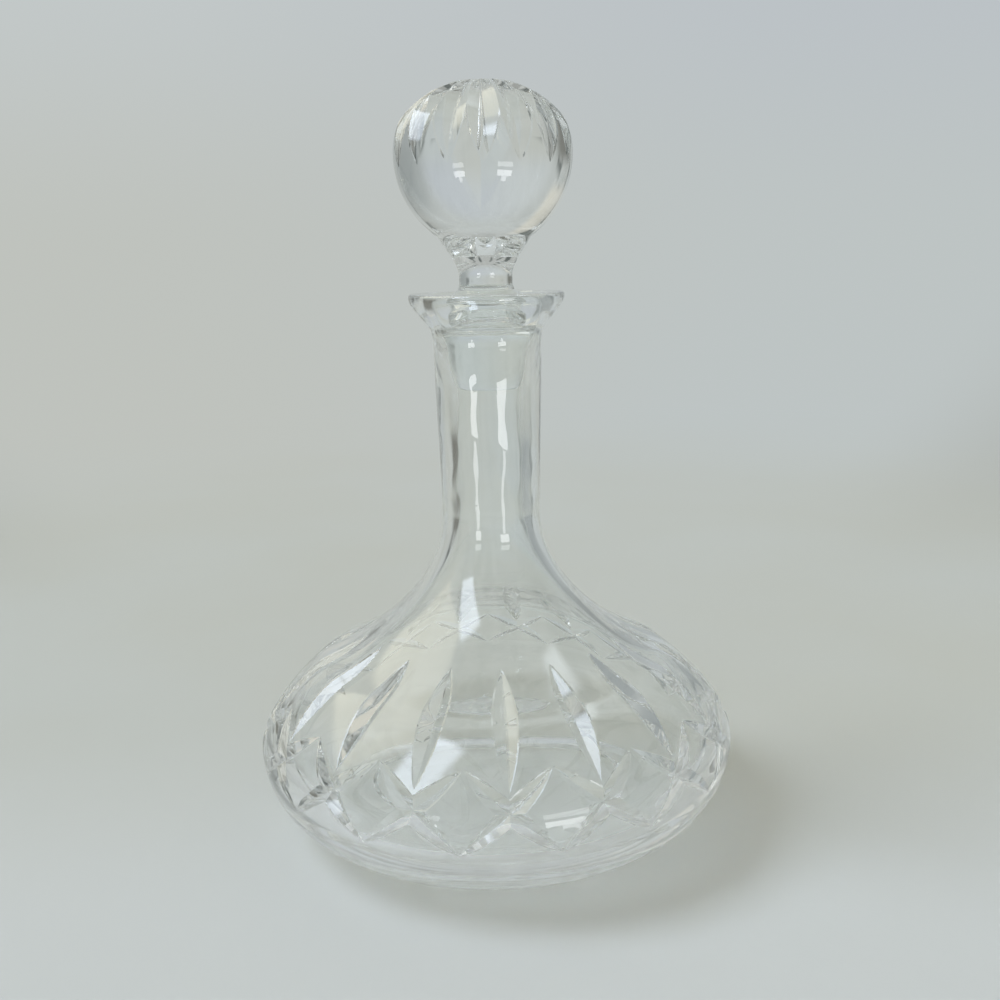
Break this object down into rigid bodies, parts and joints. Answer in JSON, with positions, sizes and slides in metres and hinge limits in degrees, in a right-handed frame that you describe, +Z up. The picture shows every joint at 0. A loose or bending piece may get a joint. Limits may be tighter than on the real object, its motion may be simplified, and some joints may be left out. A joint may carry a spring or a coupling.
{
  "type": "crystal decanter",
  "caption": "Broad-based ship's decanter of cut clear crystal with a long neck, a flared lip and a ground-in ball stopper that lifts out.",
  "frame": {"origin": "centre of the foot, on the surface that the decanter stands on", "axes": "+Z up along the axis of the bottle and the stopper; -Y is the front, with one cross and leaf of the cutting centred on it"},
  "size_m": [0.1786, 0.1784, 0.2686],
  "materials": {
    "bottle_glass": "clear lead crystal, fire-polished, with acid-polished mitre cuts",
    "stopper_glass": "clear lead crystal, polished, with a fine-ground peg"
  },
  "bodies": {
    "decanter": {"decanter": "bottle_glass"},
    "stopper": {"stopper": "stopper_glass"}
  },
  "joints": [
    {"name": "stopper_lift", "type": "slide", "parent": "decanter", "child": "stopper", "axis": [0, 0, 1], "range_m": [0, 0.05]}
  ]
}
